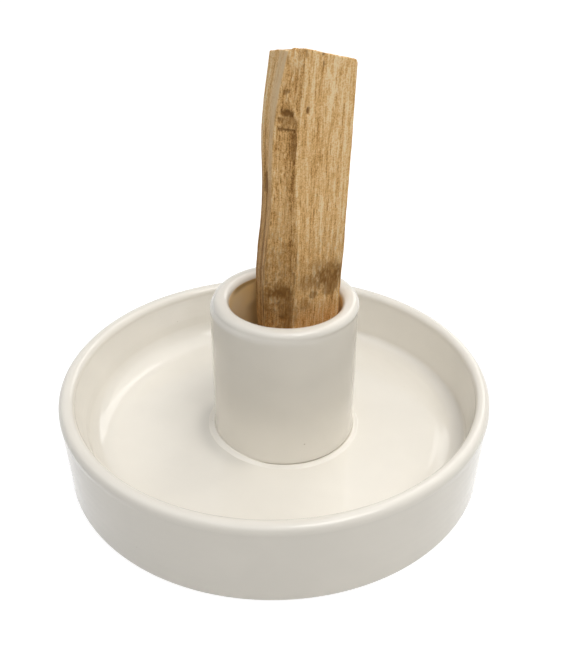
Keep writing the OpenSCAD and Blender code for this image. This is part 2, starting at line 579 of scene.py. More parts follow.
@dataclass(frozen=True)
class StonewareGlaze:
    """Creamy white glaze on a buff clay: mottled, faintly rippled and pitted with a few pinholes."""

    colour: Colour = (0.86, 0.822, 0.748)
    thick: Colour = (0.72, 0.69, 0.628)
    clay: Colour = srgb(205, 188, 162)
    pale_clay: Colour = srgb(222, 208, 184)
    # Tan brown of the bore: partly a resin stain, partly painted warm light bounced off the wood.
    stain: Colour = (0.99, 0.75, 0.38)
    # Dark brown for the painted shadow in the bore, behind the stick and under the lip.
    bore_shadow: Colour = (0.42, 0.27, 0.10)
    # Painted shade for the crease where the cup's foot meets the bead.
    crease: Colour = srgb(150, 138, 116)
    pit: Colour = srgb(150, 132, 108)
    mottle_mm: float = 16.0
    mottle_share: float = 0.18
    ripple_mm: float = 5.0
    ripple_depth: float = 0.03
    pit_cell_mm: float = 11.0
    pit_radius_mm: float = 0.22
    pit_share: float = 0.45
    pit_depth: float = 0.03
    grit_mm: float = 0.7
    gloss: float = 0.07
    specular: float = 0.5
    clay_roughness: float = 0.9

    def material(self) -> bpy.types.Material:
        """Builds the finish.

        The mesh's traits say where the glaze is pooled, where painted shadow lies beside the cup's foot,
        where the bore is stained and painted with warm light from the stick, where painted shadow darkens
        the bore and the crease at the cup's foot, and where the clay is left bare.

        Returns:
            The material.
        """
        board = Board.finish("white_stoneware_glaze")
        place = board.place()
        mottle = board.span(board.noise(place, self.mottle_mm * MM), (0.35, 0.7), (0.0, self.mottle_share))
        colour = board.blend(mottle, self.colour, self.thick)
        # Thick glaze colour: real pooling in the cove and under the rim, and painted shadow on the slip
        # beside the cup's foot.
        colour = board.blend(board.trait("pool_and_shadow"), colour, self.thick)
        # Bore colour: partly a resin stain, partly painted warm light bounced off the stick.
        colour = board.blend(board.trait("stain"), colour, self.stain)
        # Painted shadow in the bore, behind the stick and under the lip.
        colour = board.blend(board.trait("bore_shadow"), colour, self.bore_shadow)
        # Painted shade in the crease at the cup's foot.
        colour = board.blend(board.trait("crease"), colour, self.crease)
        pit_size = self.pit_radius_mm / self.pit_cell_mm
        pits = board.specks(place, self.pit_cell_mm * MM)
        pits = board.span(pits, (pit_size * 0.5, pit_size * 1.3), (self.pit_share, 0.0))
        colour = board.blend(pits, colour, self.pit)
        bare = board.trait("bare")
        grit = board.noise(place, self.grit_mm * MM, 3.0)
        grit = board.ramp(grit, ((0.3, self.clay), (0.75, self.pale_clay)))
        colour = board.blend(bare, colour, grit)
        dull = board.math("MAXIMUM", bare, board.trait("stain"))
        roughness = board.span(dull, (0.0, 1.0), (self.gloss, self.clay_roughness))
        ripple = board.noise(place, self.ripple_mm * MM, 1.0)
        normal = board.relief(ripple, self.ripple_depth)
        pit_floor = board.span(pits, (0.0, self.pit_share), (1.0, 0.0))
        normal = board.relief(pit_floor, self.pit_depth, normal)
        return board.surface(colour, roughness, normal, self.specular)


@dataclass(frozen=True)
class PaloSantoWood:
    """Split palo santo: straight pale and brown fibres, dark resin and a silvery weathered stripe."""

    tones: tuple[tuple[float, Colour], ...] = (
        (0.0, srgb(126, 85, 36)),
        (0.22, srgb(174, 127, 65)),
        (0.45, srgb(214, 166, 102)),
        (0.7, srgb(239, 196, 135)),
        (1.0, srgb(252, 226, 180)),
    )
    resin: Colour = srgb(130, 90, 36)
    silver: Colour = srgb(238, 210, 168)
    end_tones: tuple[tuple[float, Colour], ...] = (
        (0.0, srgb(214, 178, 128)),
        (0.7, srgb(196, 154, 102)),
        (1.0, srgb(158, 114, 66)),
    )
    fibre_cell: Colour = (0.30, 0.30, 4.5)
    pore_mm: float = 0.34
    ring_mm: float = 1.7
    ring_wander: float = 1.2
    grain_share: float = 0.22
    pore_share: float = 0.15
    pith: Pair = (-14.0, 17.0)
    roughness: float = 0.74
    specular: float = 0.35
    relief_depth: float = 0.12

    def material(self, origin: Grid, lean: float) -> bpy.types.Material:
        """Builds the finish for a leaning stick.

        Args:
            origin: The stick's own origin, in millimetres.
            lean: Its lean about Y, in radians.

        Returns:
            The material.
        """
        board = Board.finish("split_palo_santo")
        place = board.place()
        fibre = board.noise(board.turned(place, origin, lean, self.fibre_cell), 1.0, 3.0)
        pores = board.noise(place, self.pore_mm * MM, 1.0)
        grain = board.span(fibre, (0.25, 0.75), (-self.grain_share, self.grain_share))
        speckle = board.span(pores, (0.3, 0.7), (-self.pore_share, self.pore_share))
        tone = board.math("ADD", board.trait("tone"), grain)
        tone = board.math("ADD", tone, speckle)
        colour = board.ramp(tone, self.tones)
        colour = board.blend(board.trait("silver"), colour, self.silver)
        colour = board.blend(board.trait("resin"), colour, self.resin)
        pith = np.array([*self.pith, 0.0]) + origin
        turned = board.turned(place, pith, lean, (1.0, 1.0, 1.0))
        end_tone = board.ramp(board.rings(turned, self.ring_mm, self.ring_wander), self.end_tones)
        colour = board.blend(board.trait("end"), colour, end_tone)
        normal = board.relief(fibre, self.relief_depth)
        normal = board.relief(pores, self.relief_depth / 3, normal)
        return board.surface(colour, self.roughness, normal, self.specular)


@dataclass(frozen=True)
class SlipMound:
    """Slip smeared up against one side of the cup's foot, which lifts the floor and the bead there."""

    rise: float = 0.9
    reach: float = 9.0
    side: float = 202.0

    def at(self, cup: CadBox, points: Grid) -> Grid:
        """Works out the lift, which falls off as a parabola away from the cup.

        Args:
            cup: The cup's box.
            points: Grid of points in millimetres.

        Returns:
            The lift in millimetres, none under the cup.
        """
        away = points[..., :2] - cup.middle[:2]
        gap = np.hypot(away[..., 0], away[..., 1]) - cup.radius
        facing = np.cos(np.arctan2(away[..., 1], away[..., 0]) - math.radians(self.side))
        slope = np.clip(1 - gap / self.reach, 0.0, 1.0) ** 2
        return self.rise * slope * ease(0.55, 0.97, facing) * ease(-1.0, -0.3, gap)


@dataclass
class ThrownDish:
    """Thrown dish: an upright wall with a rolled rim, a cove, a flat floor and a foot ring."""

    box: CadBox
    cup: CadBox
    wall: float = 4.0
    rim_lip: float = 0.2
    wall_flare: float = 0.8
    lip_fillet: float = 9.0
    rim_thinning: float = 0.25
    rim_squareness: float = 2.2
    draw_in: float = 1.7
    cove_reach: Pair = (4.2, 2.6)
    wide_cove_reach: Pair = (8.0, 7.2)
    wide_cove_side: float = 160.0
    rim_shift: float = 0.25
    floor_shift: float = 0.9
    foot_height: float = 3.2
    foot_width: float = 7.0
    foot_cove: float = 1.6
    foot_edge: float = 0.5
    base_edge: float = 1.4
    out_of_round: float = 0.2
    oval_turn: float = 0.7
    rim_wander: float = 0.25
    wall_wander: float = 0.1
    swell_layers: tuple[Layer, ...] = ((13, 9, 0.65), (31, 22, 0.35))
    true_round_cup: Pair = (4.0, 14.0)
    cove_pool: float = 0.22
    rim_pool: float = 0.27
    ring_depth: float = 0.006
    ring_pitch: float = 2.6
    columns: int = 408
    seed: int = 11

    def outline(self, cove_reach: Pair) -> Grid:
        """Lays out the half outline, from the middle underneath round the rim to the middle of the floor.

        Args:
            cove_reach: Width and height of the cove between the wall and the floor.

        Returns:
            Points (radius, height) in millimetres, as many for any cove.
        """
        outer, top = self.box.radius, float(self.box.high[2])
        floor = float(self.cup.low[2])
        roll = (self.wall + self.rim_lip) / 2
        rim = (outer - roll, top - roll)
        inner_top = rim[0] - roll
        wall_top = inner_top + self.wall
        base = wall_top - self.wall_flare
        fillet = self.under_rim(rim, roll, wall_top)
        slope = math.degrees(math.atan(self.wall_flare / fillet[1]))
        foot = base - self.foot_width
        inner_edge = inner_top + self.rim_thinning
        crest = (inner_edge + outer) / 2
        reach = base + self.base_edge * math.tan(math.radians(slope))
        edge = (reach - self.base_edge / math.cos(math.radians(slope)), self.base_edge)
        cove_wide, cove_high = cove_reach
        corner = inner_top - self.draw_in
        draft = math.atan((inner_edge - corner) / (rim[1] - floor - cove_high) * cove_high / cove_wide)
        cove = (corner - cove_wide, floor + cove_high)
        hollow_top = (fillet[0] + self.lip_fillet, fillet[1])
        leave = math.radians(180 - slope)
        hollow = (foot - self.foot_cove, self.foot_height - self.foot_cove)
        lip = (foot + self.foot_edge, self.foot_edge)
        drawn = Outline(AXIS_GAP, self.foot_height)
        drawn.line(hollow[0], self.foot_height, 22)
        drawn.arc(hollow, self.foot_cove, 90, 0, 6)
        drawn.arc(lip, self.foot_edge, 180, 270, 4)
        drawn.line(edge[0], 0.0, 8)
        drawn.arc(edge, self.base_edge, -90, -slope, 8)
        leaves = np.array(hollow_top) + self.lip_fillet * np.array([math.cos(leave), math.sin(leave)])
        drawn.line(leaves[0], leaves[1], 30)
        drawn.arc(hollow_top, self.lip_fillet, 180 - slope, fillet[2], 10)
        drawn.arc(rim, roll, fillet[2] - 180, 0, 8)
        drawn.bow((crest, rim[1]), (outer - crest, roll), 0, 90, self.rim_squareness, 20)
        drawn.bow((crest, rim[1]), (crest - inner_edge, roll), 90, 180, self.rim_squareness, 20)
        drawn.line(corner, cove[1] + 0.2, 14)
        drawn.bow(cove, cove_reach, -math.degrees(draft), -90, 2.0, 26)
        drawn.line(AXIS_GAP, floor, 60)
        return drawn.points()

    def under_rim(self, rim: Pair, roll: float, wall: float) -> tuple[float, float, float]:
        """Finds the small hollow fillet under the rolled rim, which touches the wall and the roll.

        Its centre is one fillet radius outside the wall and a fillet plus a roll radius from the
        roll's centre.

        Args:
            rim: Radius and height of the roll's centre.
            roll: Radius of the roll.
            wall: Radius of the wall at the rim.

        Returns:
            Radius and height where it leaves the wall, and the angle at which it meets the roll.
        """
        out = wall + self.lip_fillet - rim[0]
        drop = math.sqrt((self.lip_fillet + roll) ** 2 - out**2)
        meet = 180 - math.degrees(math.atan2(drop, out))
        return wall, rim[1] - drop, meet

    def build(self) -> bpy.types.Object:
        """Turns the outline and gives it the unevenness of handwork, always inwards.

        The rim sinks and the walls draw in by soft swells, a faint spiral is left by the fingers, the
        cove is wider on one side, and the whole dish is a little oval. The floor stays true round the cup.

        Returns:
            The dish.
        """
        dice = np.random.default_rng(self.seed)
        turned = Revolved(self.outline(self.cove_reach), self.columns)
        wide = self.outline(self.wide_cove_reach)
        widened = ease(-0.2, 0.8, np.cos(2 * np.pi * turned.around - math.radians(self.wide_cove_side)))
        turned.radius = turned.radius + widened * (wide[:, :1] - turned.radius)
        turned.height = turned.height + widened * (wide[:, 1:] - turned.height)
        radius, height = turned.radius.copy(), turned.height.copy()
        standing = turned.points()
        gap = np.hypot(standing[..., 0] - self.cup.middle[0], standing[..., 1] - self.cup.middle[1])
        near, far = self.true_round_cup
        clear = ease(self.cup.radius + near, self.cup.radius + far, gap)
        clear = np.where(height > self.foot_height, clear, 0.0)
        wall = clear * ease(self.base_edge, self.base_edge + 4, height)
        swell = swells(dice, turned.around, turned.along, self.swell_layers)
        spiral = np.sin(2 * np.pi * (turned.way[:, None] / self.ring_pitch + turned.around))
        turned.swell(-wall * (self.wall_wander * (1 + swell) / 2 + self.ring_depth * (1 + spiral)))
        sink = Lattice(dice, 7, 1).at(turned.around, np.zeros_like(turned.along))
        rise = ease(self.cup.low[2] + 3, self.box.high[2], height)
        turned.height -= self.rim_wander * (1 + sink) / 2 * rise
        oval = (1 - np.cos(2 * (2 * np.pi * turned.around - self.oval_turn))) / 2
        turned.radius *= 1 - self.out_of_round / self.box.radius * oval
        foot = self.box.radius - self.foot_width
        traits = {
            "bare": ease(0.75, 0.35, height) * ease(foot - 3, foot - 2, radius),
            "pool_and_shadow": self.pooled(turned, radius, height),
        }
        points = turned.points()
        points[..., 0] += self.inside_shift(turned.path, height)
        mound = SlipMound()
        lift = self.inside_rows(turned.path) * mound.at(self.cup, points)
        points[..., 2] += lift
        # Darker glaze on the slip mound: partly thicker glaze, partly painted shadow beside the cup's
        # foot.
        traits["pool_and_shadow"] = np.maximum(traits["pool_and_shadow"], ease(0.0, 0.5 * mound.rise, lift))
        return weave("glazed_dish", points, Closure.POLES, traits)

    @staticmethod
    def inside_rows(path: Grid) -> Grid:
        """Gives true for the outline's rows from its highest one on, which are the inside."""
        return np.arange(len(path))[:, None] >= int(np.argmax(path[:, 1]))

    def inside_shift(self, path: Grid, height: Grid) -> Grid:
        """Sets the inside a little to the right of the outside, more at the floor than at the rim.

        Args:
            path: The half outline.
            height: Heights before the unevenness.

        Returns:
            The shift along X in millimetres.
        """
        floor, top = float(self.cup.low[2]), float(self.box.high[2])
        deep = self.rim_shift + (self.floor_shift - self.rim_shift) * ease(top - 2.0, floor + 1.0, height)
        return self.inside_rows(path) * ease(top, top - 2.0, height) * deep

    def pooled(self, turned: Revolved, radius: Grid, height: Grid) -> Grid:
        """Says where the glaze is thick: in the cove and in the hollow under the rim.

        Args:
            turned: The turned dish.
            radius: Its radii before the unevenness.
            height: Its heights before the unevenness.

        Returns:
            The thickness, from 0 to 1.
        """
        floor, top = self.cup.low[2], self.box.high[2]
        inside = turned.along > 0.5
        cove = inside * bell(self.box.radius - 8, 4.0, radius) * ease(floor + 5, floor, height)
        under = ~inside * bell(top - 4.5, 1.6, height) * ease(50, 55, radius)
        return self.cove_pool * cove + self.rim_pool * under


@dataclass
class LutedCup:
    """Straight tube with a full round lip, stuck to the dish's floor."""

    box: CadBox
    wall: float = 4.6
    foot_round: float = 0.8
    lip_squareness: float = 2.2
    lip_shoulder: float = 0.12
    lip_shift: float = 0.42
    lip_tilt: float = 0.2
    lip_wander: float = 0.2
    wall_wander: float = 0.06
    out_of_round: float = 0.05
    oval_turn: float = 1.9
    swell_layers: tuple[Layer, ...] = ((9, 12, 0.7), (21, 30, 0.3))
    sink_reach: float = 14.0
    shift_reach: float = 22.0
    stain_rise: float = 0.9
    stain_depth: float = 0.3
    # Strength of the painted shadow in the bore.
    bore_shadow_share: float = 0.85
    columns: int = 384
    seed: int = 23

    def build(self) -> bpy.types.Object:
        """Turns the tube's loop: up the outside, over the lip, down the bore and back under the wall.

        The lip sinks and the outside draws in by soft swells. The bore keeps its width for the stick.

        Returns:
            The cup.
        """
        dice = np.random.default_rng(self.seed)
        outer, bore = self.box.radius, self.box.radius - self.wall
        low, top = float(self.box.low[2]), float(self.box.high[2])
        mouth = top - self.wall / 2
        drawn = Outline(outer - self.foot_round, low)
        drawn.arc((outer - self.foot_round, low + self.foot_round), self.foot_round, -90, 0, 6)
        drawn.line(outer, mouth, 76)
        reach = (self.wall / 2, self.wall / 2)
        drawn.bow((outer - reach[0], mouth), reach, 0, 180, self.lip_squareness, 48)
        drawn.line(bore, mouth - 3, 18)
        drawn.line(bore, low, 46)
        drawn.line(outer - self.foot_round - 0.4, low, 4)
        turned = Revolved(drawn.points(), self.columns)
        radius, height = turned.radius.copy(), turned.height.copy()
        outside = ease(outer - self.wall / 2, outer - 0.3, radius)
        swell = swells(dice, turned.around, turned.along, self.swell_layers)
        oval = (1 - np.cos(2 * (2 * np.pi * turned.around - self.oval_turn))) / 2
        body = outside * ease(low + 1, low + 6, height)
        turned.radius -= body * (self.wall_wander * (1 + swell) / 2 + self.out_of_round * oval)
        turned.radius -= outside * self.lip_shoulder * bell(mouth + 0.5, 0.7, height)
        sink = Lattice(dice, 6, 1).at(turned.around, np.zeros_like(turned.along))
        tilt = (1 + np.cos(2 * np.pi * turned.around)) / 2
        sink = self.lip_wander * (1 + sink) / 2 + self.lip_tilt * tilt
        turned.height -= sink * ease(mouth - self.sink_reach, top, height)
        edge = mouth + self.stain_rise
        depth = ease(edge, edge - self.stain_depth, height)
        patchiness = Lattice(dice, 14, 26).at(turned.around, turned.along)
        foot = ease(outer - 1.2, outer - 0.5, radius) * ease(low + 0.6, low + 0.2, height)
        traits = {
            # Brown bore: partly a resin stain, partly painted warm light bounced off the stick.
            "stain": (1 - outside) * depth * (0.8 + 0.2 * patchiness),
            # Painted shadow of the stick and painted shade under the lip, in the bore.
            "bore_shadow": (1 - outside) * depth * self.bore_shadow_mask(turned.around, edge - height, patchiness),
            # Painted shade in the crease at the cup's foot.
            "crease": CREASE_SHADE * foot,
        }
        points = turned.points((self.box.middle[0], self.box.middle[1]))
        lip = outside * ease(mouth - 0.3, edge, height)
        bore_shift = (1 - outside) * ease(mouth - self.shift_reach, mouth + 0.5, height)
        points[..., 0] += self.lip_shift * (lip + bore_shift)
        return weave("standing_cup", points, Closure.LOOP, traits)

    def bore_shadow_mask(self, around: Grid, depth: Grid, patchiness: Grid) -> Grid:
        """Paints the stick's shadow on the bore behind the stick, and painted shade in a band under the
        lip at the back left.

        Args:
            around: Share of the way round.
            depth: Depth under the mouth in millimetres.
            patchiness: Soft swells that break the band's edge.

        Returns:
            The painted shadow, from 0 to 1.
        """
        turn = np.abs(around - 0.25) * 360.0 + 8.0 * patchiness
        behind = ease(50.0, 34.0, turn)
        under_lip = ease(2.4, 0.8, depth + 0.5 * patchiness) * ease(80.0, 62.0, turn)
        return self.bore_shadow_share * np.maximum(behind, under_lip)


@dataclass
class SlipSeam:
    """Low bead of joining slip in the angle between the cup's foot and the floor."""

    box: CadBox
    cup: CadBox
    foot_round: float = 0.8
    crest_out: float = 0.45
    crease_drop: float = 0.22
    toe_sink: float = 0.02
    tuck_height: float = 0.1
    arch_steps: int = 12
    narrowing: float = 0.6
    sagging: float = 0.4
    columns: int = 360
    seed: int = 37

    def build(self) -> bpy.types.Object:
        """Carries an arched bead round the cup's foot, wider and higher in some places than in others.

        The bead's outline goes along the floor to its outer edge, rises in the ease 3f^2 - 2f^3 to a crest
        beside the cup, dips by a parabola into the crease and goes down the round of the cup's foot.

        Returns:
            The bead.
        """
        dice = np.random.default_rng(self.seed)
        inner = self.cup.radius - self.foot_round / 2
        outer, floor = self.box.radius, float(self.box.low[2])
        crown = float(self.box.high[2]) - floor
        crest = self.cup.radius + self.crest_out
        tuck = self.cup.radius - self.foot_round * 0.25
        share = np.linspace(1.0, 0.0, self.arch_steps)
        inwards = 1 - share[1:]
        toe_height = crown * ease(1.0, 0.0, share) - self.toe_sink * share
        toe = np.stack([crest + (outer - crest) * share, toe_height], -1)
        back = np.stack([crest + (tuck - crest) * inwards, crown - self.crease_drop * inwards**2], -1)
        floor_run = np.linspace([inner, -self.toe_sink], [outer, -self.toe_sink], 6)[:-1]
        tucked = np.array([[inner, self.tuck_height]])
        turned = Revolved(np.concatenate([floor_run, toe, back, tucked]), self.columns)
        radius = turned.radius.copy()
        flat = np.zeros_like(radius)
        narrow = (1 + Lattice(dice, 11, 1).at(turned.around, flat)) / 2
        narrow = 0.75 * narrow + 0.25 * (1 + Lattice(dice, 37, 1).at(turned.around, flat)) / 2
        sag = (1 + Lattice(dice, 16, 1).at(turned.around, flat)) / 2
        out = ease(self.cup.radius - 0.3, outer, radius)
        turned.radius -= out * self.narrowing * narrow
        turned.height = floor + turned.height * (1 - self.sagging * sag)
        # Painted shade in the crease between the bead and the cup.
        crease = ease(self.cup.radius + 0.45, self.cup.radius, radius)
        points = turned.points((self.box.middle[0], self.box.middle[1]))
        points[..., 2] += SlipMound().at(self.cup, points)
        return weave("slip_bead", points, Closure.LOOP, {"crease": CREASE_SHADE * crease})


@dataclass(frozen=True)
class Streak:
    """Run of fibres along a face that is paler or darker than the wood round it."""

    face: Face
    across: float
    half: float
    tone: float
    low: float
    high: float
    drift: float = 0.0


@dataclass(frozen=True)
class Tear:
    """Spot where wood has torn out of a face, or where a dark knot of fibres shows."""

    face: Face
    across: float
    height: float
    half_across: float
    half_height: float
    depth: float
    dark: float


@dataclass(frozen=True)
class Stain:
    """Patch of dark resin on a face, ragged along the fibres."""

    face: Face
    across: float
    height: float
    half_across: float
    half_height: float
    dark: float


@dataclass
class SplitStick:
    """Hand-split stick of palo santo: a loft of a ring of corners, with torn and straight-split faces."""

    box: CadBox
    lean: float
    width: float = 21.1
    thickness: float = 13.3
    length: float = 103.0
    ridge_foot: float = 0.7
    ridge_top: float = 1.8
    ridge_sway: float = 0.55
    ridge_sways: float = 2.0
    left_facet: float = 2.3
    left_spread: float = 2.0
    left_taper: float = 1.3
    taper_power: float = 5.0
    left_set_back: float = 2.0
    torn_hollow: float = 0.5
    right_set_back: float = 6.0
    right_draw_in: float = 1.4
    split_wave: float = 0.35
    split_swells: float = 2.6
    edge_phase: float = -154.0
    corner_phase: float = 77.0
    end_slope_right: float = 5.5
    end_slope_back: float = 20.0
    column_step: float = 0.176
    row_step: float = 0.385
    cap_rows: int = 12
    worn_end: float = 0.4
    corner_passes: int = 6
    set_in: float = 0.04
    stand_out: float = 0.12
    fray: float = 0.25
    corner_wear: float = 0.6
    streak_fade: float = 0.03
    veil: Pair = (66.0, 46.0)
    torn_veil: Pair = (78.0, 54.0)
    # Heights over which painted shade darkens the left facet.
    left_shade: Pair = (84.0, 66.0)
    # Heights below which the veil thins on the right face: a painted lighter patch for light bounced up
    # from the cup.
    bounce_lit: Pair = (45.5, 43.0)
    foot_stain: Pair = (34.0, 28.0)
    seed: int = 5
    streaks: tuple[Streak, ...] = (
        Streak(Face.RIGHT_FRONT, 0.03, 0.030, 0.18, 0.30, 0.99),
        Streak(Face.RIGHT_FRONT, 0.11, 0.026, -0.16, 0.70, 1.0),
        Streak(Face.RIGHT_FRONT, 0.20, 0.020, 0.20, 0.45, 0.97),
        Streak(Face.RIGHT_FRONT, 0.28, 0.030, -0.16, 0.50, 0.90),
        Streak(Face.RIGHT_FRONT, 0.34, 0.020, -0.22, 0.72, 0.98),
        Streak(Face.RIGHT_FRONT, 0.46, 0.045, 0.24, 0.64, 1.0, 0.13),
        Streak(Face.RIGHT_FRONT, 0.37, 0.022, 0.22, 0.40, 0.72),
        Streak(Face.RIGHT_FRONT, 0.48, 0.020, 0.24, 0.42, 0.70),
        Streak(Face.RIGHT_FRONT, 0.56, 0.028, -0.18, 0.45, 0.85),
        Streak(Face.RIGHT_FRONT, 0.64, 0.022, 0.22, 0.40, 0.85),
        Streak(Face.RIGHT_FRONT, 0.73, 0.026, 0.18, 0.55, 1.0),
        Streak(Face.RIGHT_FRONT, 0.77, 0.020, -0.20, 0.42, 0.78),
        Streak(Face.RIGHT_FRONT, 0.84, 0.030, 0.20, 0.50, 1.0),
        Streak(Face.RIGHT_FRONT, 0.93, 0.028, 0.30, 0.30, 0.74),
        Streak(Face.RIGHT_FRONT, 0.99, 0.022, -0.30, 0.30, 0.70),
        Streak(Face.TORN_FRONT, 0.86, 0.090, -0.24, 0.68, 0.84),
        Streak(Face.TORN_FRONT, 0.77, 0.040, -0.22, 0.50, 0.70),
        Streak(Face.TORN_FRONT, 0.24, 0.050, -0.24, 0.85, 0.91),
        Streak(Face.TORN_FRONT, 0.56, 0.240, 0.30, 0.94, 1.0),
        Streak(Face.TORN_FRONT, 0.97, 0.070, -0.30, 0.88, 1.0),
        Streak(Face.LEFT_SIDE, 0.22, 0.050, 0.26, 0.74, 1.0),
        Streak(Face.LEFT_SIDE, 0.40, 0.040, -0.26, 0.66, 1.0),
        Streak(Face.LEFT_SIDE, 0.10, 0.100, -0.30, 0.34, 0.74),
        Streak(Face.LEFT_SIDE, 0.55, 0.060, -0.26, 0.30, 0.78),
        Streak(Face.LEFT_SIDE, 0.75, 0.050, 0.24, 0.30, 0.62),
        Streak(Face.LEFT_SIDE, 0.33, 0.040, -0.40, 0.72, 0.84),
        Streak(Face.LEFT_SIDE, 0.62, 0.140, -0.26, 0.30, 0.70),
        Streak(Face.LEFT_SIDE, 0.82, 0.030, 0.26, 0.34, 0.56),
        Streak(Face.LEFT_SIDE, 0.93, 0.030, -0.30, 0.34, 0.58),
    )
    tears: tuple[Tear, ...] = (
        Tear(Face.TORN_FRONT, 0.47, 88.5, 0.30, 0.80, 0.50, 0.95),
        Tear(Face.TORN_FRONT, 0.52, 84.9, 0.42, 0.40, 0.40, 0.85),
        Tear(Face.TORN_FRONT, 0.52, 86.8, 0.38, 1.50, 0.20, 0.45),
        Tear(Face.TORN_FRONT, 0.83, 81.5, 0.13, 4.5, 0.25, 0.50),
        Tear(Face.TORN_FRONT, 0.30, 93.0, 0.15, 0.6, 0.25, 0.60),
        Tear(Face.RIGHT_FRONT, 0.14, 89.4, 0.022, 0.7, 0.30, 0.90),
        Tear(Face.RIGHT_FRONT, 0.35, 101.4, 0.030, 0.55, 0.40, 0.80),
        Tear(Face.RIGHT_FRONT, 0.36, 99.1, 0.018, 0.60, 0.25, 0.60),
        Tear(Face.RIGHT_FRONT, 0.02, 101.6, 0.030, 0.90, 0.20, 0.50),
        Tear(Face.TORN_FRONT, 0.96, 99.0, 0.050, 0.60, 0.20, 0.50),
        Tear(Face.RIGHT_FRONT, 0.80, 100.4, 0.022, 0.35, 0.15, 0.50),
        Tear(Face.LEFT_SIDE, 0.46, 70.0, 0.17, 3.2, 0.30, 0.90),
    )
    stains: tuple[Stain, ...] = (
        Stain(Face.RIGHT_FRONT, 0.54, 47.6, 0.09, 1.5, 0.85),
        Stain(Face.RIGHT_FRONT, 0.75, 44.3, 0.20, 2.1, 0.75),
        Stain(Face.RIGHT_FRONT, 0.37, 43.3, 0.13, 1.1, 0.75),
        Stain(Face.RIGHT_FRONT, 0.48, 50.8, 0.28, 1.9, 0.45),
        Stain(Face.RIGHT_FRONT, 0.87, 48.4, 0.12, 3.6, 0.55),
        Stain(Face.RIGHT_FRONT, 0.02, 38.6, 0.10, 4.5, 0.45),
        Stain(Face.RIGHT_FRONT, 0.72, 47.6, 0.46, 3.6, 0.85),
        Stain(Face.RIGHT_FRONT, 0.25, 47.0, 0.25, 2.6, 0.55),
        Stain(Face.RIGHT_FRONT, 0.22, 41.0, 0.16, 2.0, 0.45),
        Stain(Face.TORN_FRONT, 0.62, 44.2, 0.42, 2.6, 0.95),
        Stain(Face.TORN_FRONT, 0.80, 38.4, 0.30, 5.8, 0.72),
        Stain(Face.TORN_FRONT, 0.18, 43.6, 0.30, 1.6, 0.90),
        Stain(Face.TORN_FRONT, 0.02, 39.8, 0.16, 6.0, 0.70),
        Stain(Face.TORN_FRONT, 0.33, 37.6, 0.30, 5.4, 0.40),
        Stain(Face.TORN_FRONT, 0.50, 49.0, 0.80, 6.0, 0.40),
        Stain(Face.LEFT_SIDE, 0.27, 41.0, 0.30, 8.5, 0.40),
        Stain(Face.LEFT_SIDE, 0.94, 41.0, 0.12, 6.5, 0.90),
    )

    def __post_init__(self) -> None:
        """Finds the stick's own origin from its box: its highest right corner touches the box's side."""
        top_right = np.array([self.width / 2, self.right_set_back - self.thickness / 2])
        rise = float(self.end_height(top_right))
        reach = top_right[0] * math.cos(self.lean) + rise * math.sin(self.lean)
        self.origin = np.array([
            self.box.high[0] - reach,
            self.box.low[1] + self.thickness / 2,
            self.box.low[2] + self.width / 2 * math.sin(self.lean),
        ])

    def swell(self, share: Grid, corner: int) -> Grid:
        """Gives the slow swell of a corner along the split: a sine whose phase differs by corner."""
        phase = 360.0 * self.split_swells * share + self.edge_phase + corner * self.corner_phase
        return self.split_wave * np.sin(np.radians(phase))

    def end_height(self, place: Grid) -> Grid:
        """Gives the height of the raked top end over places (x, y) of the stick."""
        right = (place[..., 0] + self.ridge_top) * math.tan(math.radians(self.end_slope_right))
        back = (place[..., 1] + self.thickness / 2) * math.tan(math.radians(self.end_slope_back))
        return self.length - right - back

    def corners(self, share: Grid) -> Grid:
        """Gives the ring of corners at shares of the way up, anticlockwise from above, ridge first.

        Args:
            share: Shares from foot to top, one per row.

        Returns:
            Corners (x, y), rows by 8 by 2.
        """
        left = -self.width / 2 + self.left_taper * share**self.taper_power + self.swell(share, 0)
        right = np.full_like(share, self.width / 2)
        front = np.full_like(share, -self.thickness / 2)
        back = -front
        ridge = self.ridge_sway * np.cos(2 * np.pi * self.ridge_sways * share)
        ridge = ridge - (self.ridge_foot + (self.ridge_top - self.ridge_foot) * share)
        left_front = left + self.left_facet + self.left_spread * share**self.taper_power
        hollow = self.left_set_back / 2 + self.torn_hollow
        ring = [
            (ridge, front),
            ((ridge + right) / 2, front + self.right_set_back / 2 + self.swell(share, 1)),
            (right, front + self.right_set_back),
            (right - self.right_draw_in, back - self.split_wave + self.swell(share, 2)),
            ((left + right) / 2, back - self.split_wave + self.swell(share, 3)),
            (left, back - self.right_draw_in),
            (left_front, front + self.left_set_back),
            ((left_front + ridge) / 2, front + hollow + self.swell(share, 4)),
        ]
        return np.stack([np.stack(corner, -1) for corner in ring], 1)

    def edge_places(self) -> Grid:
        """Spreads the columns over the edges, each edge as its length needs.

        Returns:
            Places from 0 to 8: the whole part counts the edge and the rest is the share along it.
        """
        ring = self.corners(np.array([0.5]))[0]
        lengths = np.linalg.norm(np.roll(ring, -1, 0) - ring, axis=1)
        counts = np.round(lengths / self.column_step).astype(int)
        return np.concatenate([edge + np.arange(count) / count for edge, count in enumerate(counts)])

    def rows(self) -> tuple[Grid, Grid]:
        """Spreads the rows over the foot, the sides and the top, closer at the worn ends.

        Returns:
            The share of the way up, and the share that the ring has shrunk to, for each row.
        """
        end = self.worn_end / self.length * np.array([0.0, 0.15, 0.35, 0.65])
        middle = np.arange(self.worn_end, self.length - self.worn_end, self.row_step) / self.length
        sides = np.concatenate([end, middle, 1 - end[::-1]])
        shrink = np.linspace(0.06, 0.985, self.cap_rows)
        share = np.concatenate([np.zeros(self.cap_rows), sides, np.ones(self.cap_rows)])
        size = np.concatenate([shrink, np.ones(len(sides)), shrink[::-1]])
        return share[:, None], size[:, None]

